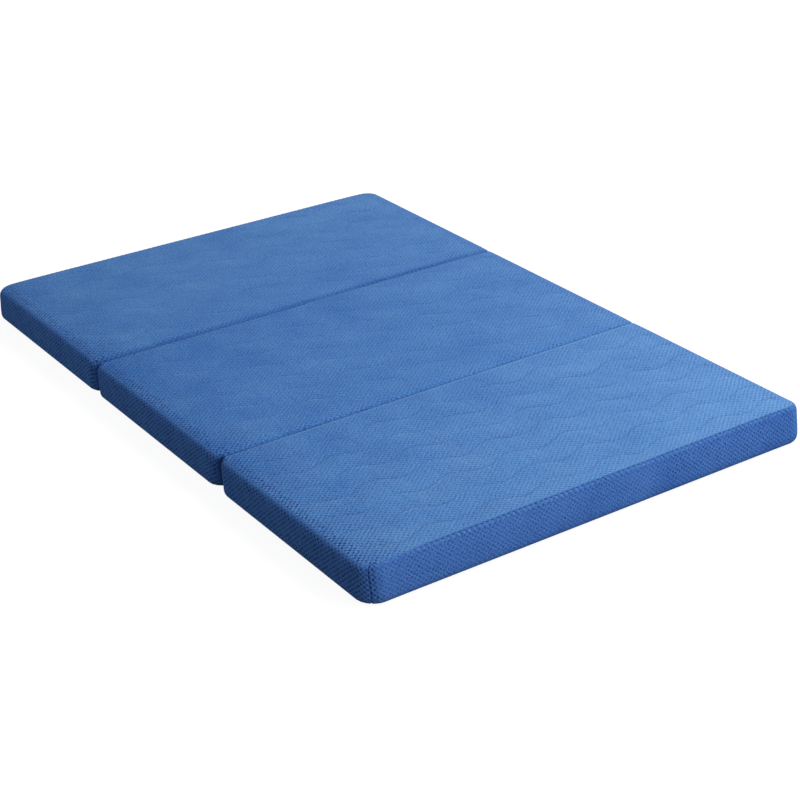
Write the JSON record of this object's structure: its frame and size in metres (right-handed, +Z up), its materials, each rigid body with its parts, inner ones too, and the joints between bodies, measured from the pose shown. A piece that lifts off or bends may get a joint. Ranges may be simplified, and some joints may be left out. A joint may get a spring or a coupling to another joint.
{
  "type": "folding mattress",
  "caption": "Tri-fold mattress of foam panels in quilted mesh covers, joined by fabric hinges that fold it into a flat stack, with a zip in each cover.",
  "frame": {"origin": "middle of the middle panel's underside, on the surface the mattress lies on", "axes": "+X to the right across the width (the zip side), +Y along the length towards the head end, +Z up"},
  "size_m": [0.6651, 0.965, 0.05],
  "materials": {
    "quilted_top": "quilted mid blue air-mesh knit, matt",
    "boxing_mesh": "mid blue open spacer mesh, matt",
    "base_fabric": "navy woven polyester, matt",
    "foam": "off-white open-cell polyurethane foam",
    "hinge_fabric": "mid blue woven strip, matt",
    "zip_tape": "navy woven tape",
    "zip_teeth": "navy nylon coil",
    "zip_slider": "navy enamelled zinc",
    "zip_pull": "navy enamelled zinc"
  },
  "bodies": {
    "middle_panel": {"middle_top_cover": "quilted_top", "middle_boxing": "boxing_mesh", "middle_base_cover": "base_fabric", "middle_foam_core": "foam", "middle_zip_tape": "zip_tape", "middle_zip_teeth": "zip_teeth", "upper_hinge_strip": "hinge_fabric", "lower_hinge_strip": "hinge_fabric"},
    "foot_panel": {"foot_top_cover": "quilted_top", "foot_boxing": "boxing_mesh", "foot_base_cover": "base_fabric", "foot_foam_core": "foam", "foot_zip_tape": "zip_tape", "foot_zip_teeth": "zip_teeth"},
    "head_panel": {"head_top_cover": "quilted_top", "head_boxing": "boxing_mesh", "head_base_cover": "base_fabric", "head_foam_core": "foam", "head_zip_tape": "zip_tape", "head_zip_teeth": "zip_teeth"},
    "foot_slider": {"foot_zip_slider": "zip_slider"},
    "middle_slider": {"middle_zip_slider": "zip_slider"},
    "head_slider": {"head_zip_slider": "zip_slider"},
    "foot_pull": {"foot_zip_pull": "zip_pull"},
    "middle_pull": {"middle_zip_pull": "zip_pull"},
    "head_pull": {"head_zip_pull": "zip_pull"}
  },
  "joints": [
    {"name": "foot_fold", "type": "hinge", "parent": "middle_panel", "child": "foot_panel", "pos_m": [0, -0.16123, 0.05015], "axis": [-1, 0, 0], "range_deg": [0, 180], "deforming": ["upper_hinge_strip"]},
    {"name": "head_fold", "type": "hinge", "parent": "middle_panel", "child": "head_panel", "pos_m": [0, 0.16123, -0.00015], "axis": [-1, 0, 0], "range_deg": [0, 180], "deforming": ["lower_hinge_strip"]},
    {"name": "foot_zip_slide", "type": "slide", "parent": "foot_panel", "child": "foot_slider", "axis": [0, -1, 0], "range_m": [0, 0.2095]},
    {"name": "middle_zip_slide", "type": "slide", "parent": "middle_panel", "child": "middle_slider", "axis": [0, -1, 0], "range_m": [0, 0.2095]},
    {"name": "head_zip_slide", "type": "slide", "parent": "head_panel", "child": "head_slider", "axis": [0, -1, 0], "range_m": [0, 0.2095]},
    {"name": "foot_pull_swing", "type": "hinge", "parent": "foot_slider", "child": "foot_pull", "pos_m": [0.33385, -0.21772, 0.023], "axis": [0, 0, 1], "range_deg": [0, 180]},
    {"name": "middle_pull_swing", "type": "hinge", "parent": "middle_slider", "child": "middle_pull", "pos_m": [0.33385, 0.10475, 0.023], "axis": [0, 0, 1], "range_deg": [0, 180]},
    {"name": "head_pull_swing", "type": "hinge", "parent": "head_slider", "child": "head_pull", "pos_m": [0.33385, 0.42722, 0.023], "axis": [0, 0, 1], "range_deg": [0, 180]}
  ]
}
